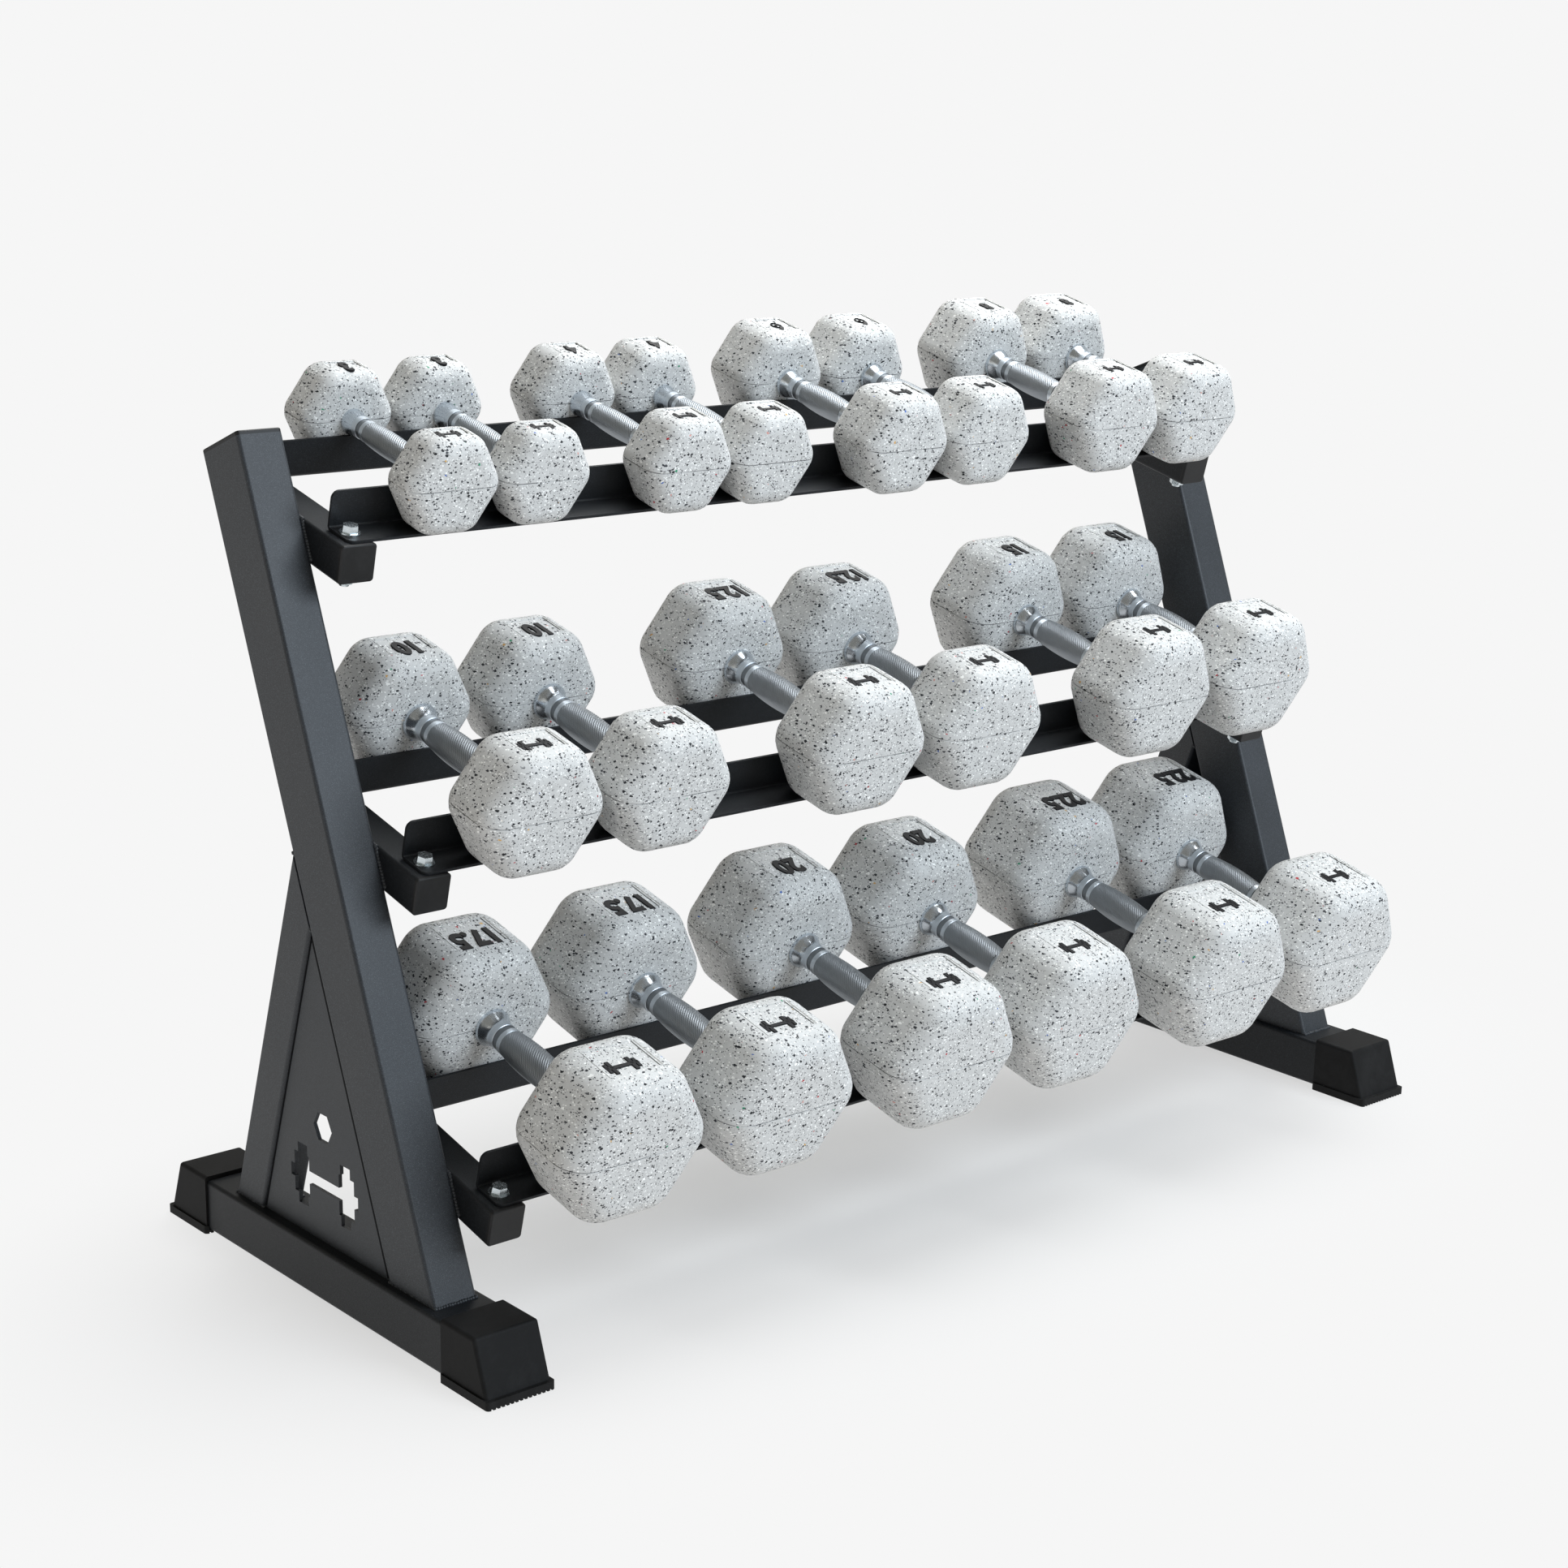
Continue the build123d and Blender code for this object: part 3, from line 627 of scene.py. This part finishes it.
def top_flat_edge_shade():
    """A darker grey rubber for a strip along one edge of each top flat: painted shade."""
    material, tree, shader = new_material("top_flat_edge_painted_shade")
    link = tree.links.new
    where = place(tree, "ShaderNodeTexCoord")
    mix = place(tree, "ShaderNodeTexNoise", scale=420.0, detail=4.0, roughness=0.8)
    link(where.outputs["Object"], mix.inputs["Vector"])
    tone = place(tree, "ShaderNodeValToRGB")
    tone.color_ramp.elements[0].position = 0.36
    tone.color_ramp.elements[0].color = (0.20, 0.195, 0.18, 1)
    tone.color_ramp.elements[1].position = 0.62
    tone.color_ramp.elements[1].color = (0.42, 0.41, 0.38, 1)
    link(mix.outputs["Fac"], tone.inputs["Fac"])
    link(tone.outputs["Color"], shader.inputs["Base Color"])
    shader.inputs["Roughness"].default_value = 0.6
    return material


black_mark = mark_rubber()
figure_height = {"top": 0.0200, "middle": 0.0265, "bottom": 0.0285}
figure_squeeze = 0.78
cap_share = 0.70  # height of a figure in the type's own size
stroke_share = 0.055
sign_share = 1.38  # width of the sign by the height of the figures
mark_rise = 0.0014
mark_edge = 0.0003
sign_edge = 0.0006
# Where marks and strips stand on the top flat, in shares of the head's width or length.
number_across = 0.01
sign_across = 0.05
mark_forward = 0.09
strip_across = 0.19
strip_share = 0.43
strip_width = 0.0022
strip_height = 0.0016
strip_sink = 0.0007
strip_edge = 0.0004


def cast_figures(text, height):
    """Bold figures as a mesh centred on the origin, x to the right, y up."""
    curve = bpy.data.curves.new("figures", "FONT")
    curve.body = text
    curve.size = height / cap_share
    curve.align_x = "CENTER"
    curve.align_y = "CENTER"
    curve.offset = height * stroke_share
    curve.extrude = mark_rise
    curve.bevel_depth = mark_edge
    curve.bevel_resolution = 2
    letters = bpy.data.objects.new("figures", curve)
    bpy.context.collection.objects.link(letters)
    bpy.context.view_layer.update()
    mesh = bpy.data.meshes.new_from_object(letters.evaluated_get(bpy.context.evaluated_depsgraph_get()))
    bpy.data.objects.remove(letters)
    bpy.data.curves.remove(curve)
    return mesh


def cast_sign(width):
    """The plain dumbbell sign: a bar with two plates at each end, as one bmesh of rounded blocks."""
    sign = bmesh.new()
    blocks = [(0.0, 1.0, 0.13)]
    for end in (-1, 1):
        blocks += [(end * 0.30, 0.12, 0.56), (end * 0.43, 0.10, 0.38)]
    for at, across, tall in blocks:
        cube = bmesh.ops.create_cube(sign, size=1.0)
        size = (across * width, tall * width, 2 * mark_rise)
        bmesh.ops.scale(sign, verts=cube["verts"], vec=size)
        bmesh.ops.translate(sign, verts=cube["verts"], vec=(at * width, 0, 0))
        edges = list({edge for vert in cube["verts"] for edge in vert.link_edges})
        bmesh.ops.bevel(
            sign, geom=edges, offset=sign_edge, affect="EDGES", segments=2, profile=0.5, material=-1
        )
    return sign


edge_shade_grey = top_flat_edge_shade()
# Painted shade: a darker grey strip stands along one long edge of each head's top flat.
for name, shelf_name, kilogram, middle, flats, length, gap in dumbbells:
    strips = bmesh.new()
    for end in (-1, 1):
        cube = bmesh.ops.create_cube(strips, size=1.0)
        size = (strip_width, length * strip_share, strip_height)
        bmesh.ops.scale(strips, verts=cube["verts"], vec=size)
        strip_place = Vector((-flats * strip_across, end * (gap + length) / 2, flats / 2 - strip_sink))
        bmesh.ops.translate(strips, verts=cube["verts"], vec=strip_place)
    bmesh.ops.bevel(
        strips,
        geom=strips.edges[:],
        offset=strip_edge,
        affect="EDGES",
        segments=2,
        profile=0.5,
        material=-1,
    )
    bmesh.ops.transform(strips, matrix=Matrix.Translation(middle) @ shelf_turn, verts=strips.verts[:])
    finish_mesh(strips, f"{name}_painted_edge_shade", edge_shade_grey, name)

for name, shelf_name, kilogram, middle, flats, length, gap in dumbbells:
    marks = bmesh.new()
    height = figure_height[shelf_name]
    panel_floor = flats / 2 - panel_depth
    figures = cast_figures(kilogram.replace("_", "."), height)
    numbers = bmesh.new()
    numbers.from_mesh(figures)
    bpy.data.meshes.remove(figures)
    bmesh.ops.remove_doubles(numbers, verts=numbers.verts[:], dist=1e-6)
    reach = (gap + length) / 2
    forward = length * mark_forward
    bmesh.ops.scale(numbers, verts=numbers.verts[:], vec=(figure_squeeze, 1.0, 1.0))
    number_place = Vector((flats * number_across, forward - reach, panel_floor))
    bmesh.ops.translate(numbers, verts=numbers.verts[:], vec=number_place)
    sign = cast_sign(height * sign_share)
    sign_place = Vector((flats * sign_across, forward + reach, panel_floor))
    bmesh.ops.translate(sign, verts=sign.verts[:], vec=sign_place)
    for part in (numbers, sign):
        scratch = bpy.data.meshes.new("mark_part")
        part.to_mesh(scratch)
        part.free()
        marks.from_mesh(scratch)
        bpy.data.meshes.remove(scratch)
    bmesh.ops.transform(marks, matrix=Matrix.Translation(middle) @ shelf_turn, verts=marks.verts[:])
    finish_mesh(marks, f"{name}_marks", black_mark, name)

# ---- Handles --------------------------------------------------------------------------------------
# A handle is a chromed steel bar: a flared collar at each head, two plain rings with a groove between
# them, and a knurled grip that swells towards its middle. The knurl is rolled in before plating.

collar_length = 0.016
collar_seat = 0.0015
ring_length = 0.007
groove_length = 0.0065
groove_depth = 0.0009
inner_ring_length = 0.006
knurl_pitch = 0.0016
knurl_depth = 0.00034
end_chamfer = 0.0004
flare_steps = 6
flare_power = 1.35
flare_rim = 0.003  # straight part of the flare, against the head
handle_radii = {
    "3": (0.0115, 0.0132, 0.0136),
    "4": (0.0115, 0.0132, 0.0140),
    "6": (0.0125, 0.0148, 0.0165),
    "8": (0.0135, 0.0155, 0.0180),
    "middle": (0.0145, 0.0170, 0.0200),
    "bottom": (0.0150, 0.0175, 0.0205),
}


def hard_chrome(name, rough_low, rough_high, tone_low):
    """Chrome plate: near-mirror metal with finger haze."""
    material, tree, shader = new_material(name)
    link = tree.links.new
    where = place(tree, "ShaderNodeTexCoord")
    haze = place(tree, "ShaderNodeTexNoise", scale=70.0, detail=4.0, roughness=0.6)
    link(where.outputs["Object"], haze.inputs["Vector"])
    shine = place(tree, "ShaderNodeMapRange")
    shine.inputs["To Min"].default_value = rough_low
    shine.inputs["To Max"].default_value = rough_high
    link(haze.outputs["Fac"], shine.inputs["Value"])
    link(shine.outputs["Result"], shader.inputs["Roughness"])
    tone = place(tree, "ShaderNodeValToRGB")
    tone.color_ramp.elements[0].color = (tone_low, tone_low * 1.07, tone_low * 1.14, 1)
    tone.color_ramp.elements[1].color = (tone_low * 1.3, tone_low * 1.39, tone_low * 1.48, 1)
    link(haze.outputs["Fac"], tone.inputs["Fac"])
    link(tone.outputs["Color"], shader.inputs["Base Color"])
    shader.inputs["Metallic"].default_value = 1.0
    return material


polished_chrome = hard_chrome("polished_chrome", 0.16, 0.28, 0.55)
satin_chrome = hard_chrome("satin_chrome", 0.34, 0.46, 0.54)
groove_chrome = hard_chrome("groove_chrome", 0.36, 0.48, 0.20)
knurled_chrome = hard_chrome("knurled_chrome", 0.42, 0.54, 0.27)


def spin_profile(points, segments):
    """Turn a profile of (along, radius) points round the y axis."""
    lathe = bmesh.new()
    verts = [lathe.verts.new((0, along, radius)) for along, radius in points]
    for first, second in zip(verts, verts[1:]):
        lathe.edges.new((first, second))
    bmesh.ops.spin(
        lathe,
        geom=lathe.verts[:] + lathe.edges[:],
        cent=(0, 0, 0),
        axis=(0, 1, 0),
        angle=2 * math.pi,
        steps=segments,
        use_merge=True,
    )
    bmesh.ops.remove_doubles(lathe, verts=lathe.verts[:], dist=1e-7)
    bmesh.ops.recalc_face_normals(lathe, faces=lathe.faces[:])
    return lathe


for name, shelf_name, kilogram, middle, flats, length, gap in dumbbells:
    end_radius, middle_radius, collar_radius = handle_radii.get(kilogram, handle_radii.get(shelf_name))
    taper_start = gap / 2 - collar_length
    ring_start = taper_start - ring_length
    groove_start = ring_start - groove_length
    knurl_end = groove_start - inner_ring_length
    swell = middle_radius - end_radius

    # The plain parts at both ends, with small chamfers that catch the light.
    bar = bmesh.new()
    for end in (-1, 1):
        outline = [
            (knurl_end - 0.001, end_radius - 0.002),
            (knurl_end, end_radius - end_chamfer),
            (knurl_end + end_chamfer, end_radius),
            (groove_start - end_chamfer, end_radius),
            (groove_start, end_radius - end_chamfer),
            (groove_start, end_radius - groove_depth),
            (ring_start, end_radius - groove_depth),
            (ring_start, end_radius - end_chamfer),
            (ring_start + end_chamfer, end_radius),
            (taper_start, end_radius),
        ]
        for step in range(1, flare_steps + 1):
            share = step / flare_steps
            flare = share**flare_power
            along = taper_start + share * (collar_length - flare_rim)
            outline.append((along, end_radius + flare * (collar_radius - end_radius)))
        outline += [
            (gap / 2 - 0.0022, collar_radius),
            (gap / 2 + collar_seat, collar_radius),
            (gap / 2 + collar_seat, 0.0),
        ]
        half = spin_profile([(end * along, radius) for along, radius in outline], 48)
        scratch = bpy.data.meshes.new("bar_half")
        half.to_mesh(scratch)
        half.free()
        bar.from_mesh(scratch)
        bpy.data.meshes.remove(scratch)
    for face in bar.faces:
        centre = face.calc_center_median()
        from_axis = math.hypot(centre.x, centre.z)
        if abs(centre.y) < taper_start:
            face.material_index = 1
        if groove_start < abs(centre.y) < ring_start and from_axis < end_radius - end_chamfer:
            face.material_index = 2
    bmesh.ops.transform(bar, matrix=Matrix.Translation(middle) @ shelf_turn, verts=bar.verts[:])
    collars = finish_mesh(bar, f"{name}_collars", polished_chrome, name)
    collars.data.materials.append(satin_chrome)
    collars.data.materials.append(groove_chrome)
    collars.data.shade_smooth()
    collars.data.set_sharp_from_angle(angle=math.radians(30))

    # The grip: every other point of a fine grid is pressed in, which leaves rows of diamonds.
    rows = 2 * round(knurl_end / knurl_pitch)
    row_pitch = 2 * knurl_end / rows
    segments = 2 * round(math.pi * end_radius / knurl_pitch)
    profile = []
    for row in range(rows + 1):
        along = -knurl_end + row * row_pitch
        share = 1 - (along / knurl_end) ** 2
        profile.append((along, end_radius + swell * share))
    grip = spin_profile(profile, segments)
    for vert in grip.verts:
        row = round((vert.co.y + knurl_end) / row_pitch)
        turn = math.atan2(vert.co.x, vert.co.z) / (2 * math.pi)
        column = round(turn * segments)
        if (row + column) % 2 and 0 < row < rows:
            inward = 1 - knurl_depth / math.hypot(vert.co.x, vert.co.z)
            vert.co.x *= inward
            vert.co.z *= inward
    bmesh.ops.transform(grip, matrix=Matrix.Translation(middle) @ shelf_turn, verts=grip.verts[:])
    finish_mesh(grip, f"{name}_knurled_grip", knurled_chrome, name)
    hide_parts(f"{name}_handle")

# ---- Studio ---------------------------------------------------------------------------------------
# A seamless pale floor under four soft panels: one overhead, a large cool one in front, a faint warm one
# on the left and one behind. The room adds a little warm light all round and looks white to the camera.


room_white = (0.922, 0.922, 0.922, 1)


def floor_paper():
    """White paper under its own wash of light, which takes over a little way out from the rack."""
    material, tree, shader = new_material("floor_paper")
    link = tree.links.new
    where = place(tree, "ShaderNodeTexCoord")
    fibre = place(tree, "ShaderNodeTexNoise", scale=2.0, detail=3.0)
    link(where.outputs["Object"], fibre.inputs["Vector"])
    tone = place(tree, "ShaderNodeValToRGB")
    tone.color_ramp.elements[0].color = (0.64, 0.636, 0.628, 1)
    tone.color_ramp.elements[1].color = (0.67, 0.666, 0.658, 1)
    link(fibre.outputs["Fac"], tone.inputs["Fac"])
    link(tone.outputs["Color"], shader.inputs["Base Color"])
    shader.inputs["Roughness"].default_value = 0.9
    shader.inputs["Specular IOR Level"].default_value = 0.1
    wash = place(tree, "ShaderNodeEmission")
    wash.inputs["Color"].default_value = room_white
    flattened = place(tree, "ShaderNodeVectorMath", operation="MULTIPLY")
    flattened.inputs[1].default_value = (0.5, 1.0, 1.0)
    link(where.outputs["Object"], flattened.inputs[0])
    distance = place(tree, "ShaderNodeVectorMath", operation="LENGTH")
    link(flattened.outputs["Vector"], distance.inputs[0])
    share = place(tree, "ShaderNodeMapRange", interpolation_type="SMOOTHSTEP")
    share.inputs["From Min"].default_value = 0.08
    share.inputs["From Max"].default_value = 0.62
    share.inputs["To Min"].default_value = 0.37
    share.inputs["To Max"].default_value = 1.0
    link(distance.outputs["Value"], share.inputs["Value"])
    mixed = place(tree, "ShaderNodeMixShader")
    link(share.outputs["Result"], mixed.inputs[0])
    link(shader.outputs[0], mixed.inputs[1])
    link(wash.outputs[0], mixed.inputs[2])
    link(mixed.outputs[0], tree.nodes["Material Output"].inputs["Surface"])
    return material


floor_reach = 40.0
floor_drop = 0.0002
floor_mesh = bmesh.new()
bmesh.ops.create_grid(floor_mesh, x_segments=1, y_segments=1, size=floor_reach)
bmesh.ops.translate(floor_mesh, verts=floor_mesh.verts[:], vec=(0, 0, -floor_drop))
floor_data = bpy.data.meshes.new("studio_floor")
floor_mesh.to_mesh(floor_data)
floor_mesh.free()
floor_data.materials.append(floor_paper())
floor = bpy.data.objects.new("studio_floor", floor_data)
bpy.context.collection.objects.link(floor)


rack_middle = Vector((0, 0, 0.45))


def soft_panel(name, stand, size, watts, tint):
    """A softbox aimed at the middle of the rack."""
    lamp = bpy.data.lights.new(name, "AREA")
    lamp.shape = "RECTANGLE"
    lamp.size, lamp.size_y = size
    lamp.energy = watts
    lamp.color = tint
    panel = bpy.data.objects.new(name, lamp)
    panel.location = stand
    panel.rotation_euler = (rack_middle - Vector(stand)).to_track_quat("-Z", "Y").to_euler()
    bpy.context.collection.objects.link(panel)


soft_panel("overhead_panel", (1.0, 0.3, 3.3), (2.4, 2.4), 120.0, (0.96, 0.985, 1.0))
soft_panel("front_panel", (1.3, -4.2, 2.8), (3.4, 2.4), 212.0, (0.77, 0.885, 1.0))
soft_panel("left_panel", (-3.4, 0.4, 1.5), (1.8, 1.8), 5.0, (1.0, 0.96, 0.88))
soft_panel("rear_panel", (2.4, 2.8, 2.2), (2.0, 2.0), 20.0, (1.0, 0.99, 0.97))

# The room looks white behind the rack, and lights it only a little, slightly warm.
world = bpy.data.worlds.new("studio_room")
bpy.context.scene.world = world
world.use_nodes = True
room = world.node_tree
backdrop = room.nodes["Background"]
backdrop.inputs["Color"].default_value = (1.0, 0.96, 0.86, 1)
backdrop.inputs["Strength"].default_value = 0.255
seen = place(room, "ShaderNodeBackground")
seen.inputs["Color"].default_value = room_white
rays = place(room, "ShaderNodeLightPath")
either = place(room, "ShaderNodeMixShader")
room.links.new(rays.outputs["Is Camera Ray"], either.inputs[0])
room.links.new(backdrop.outputs[0], either.inputs[1])
room.links.new(seen.outputs[0], either.inputs[2])
room.links.new(either.outputs[0], room.nodes["World Output"].inputs["Surface"])
bpy.context.scene.view_settings.view_transform = "Standard"

# The camera stands to the left of the front, above the top shelf, with a slight roll.
camera_azimuth = math.radians(-41.03)
camera_elevation = math.radians(16.41)
camera_roll = math.radians(1.21)
camera_place = Vector((-2.0492, front_edge - 2.0858, 1.2243))
back = Vector(
    (
        math.sin(camera_azimuth) * math.cos(camera_elevation),
        -math.cos(camera_azimuth) * math.cos(camera_elevation),
        math.sin(camera_elevation),
    )
)
level = Vector((0, 0, 1)).cross(back).normalized()
upward = back.cross(level)
across = math.cos(camera_roll) * level + math.sin(camera_roll) * upward
upward = back.cross(across)
lens = bpy.data.cameras.new("studio_camera")
lens.sensor_width = 36.0
lens.lens = 64.6
lens.shift_x = -0.0035
lens.shift_y = 0.0634
lens.clip_end = 200.0
camera = bpy.data.objects.new("studio_camera", lens)
bpy.context.collection.objects.link(camera)
turned = Matrix((across, upward, back)).transposed().to_4x4()
camera.matrix_world = Matrix.Translation(camera_place) @ turned
bpy.context.scene.camera = camera
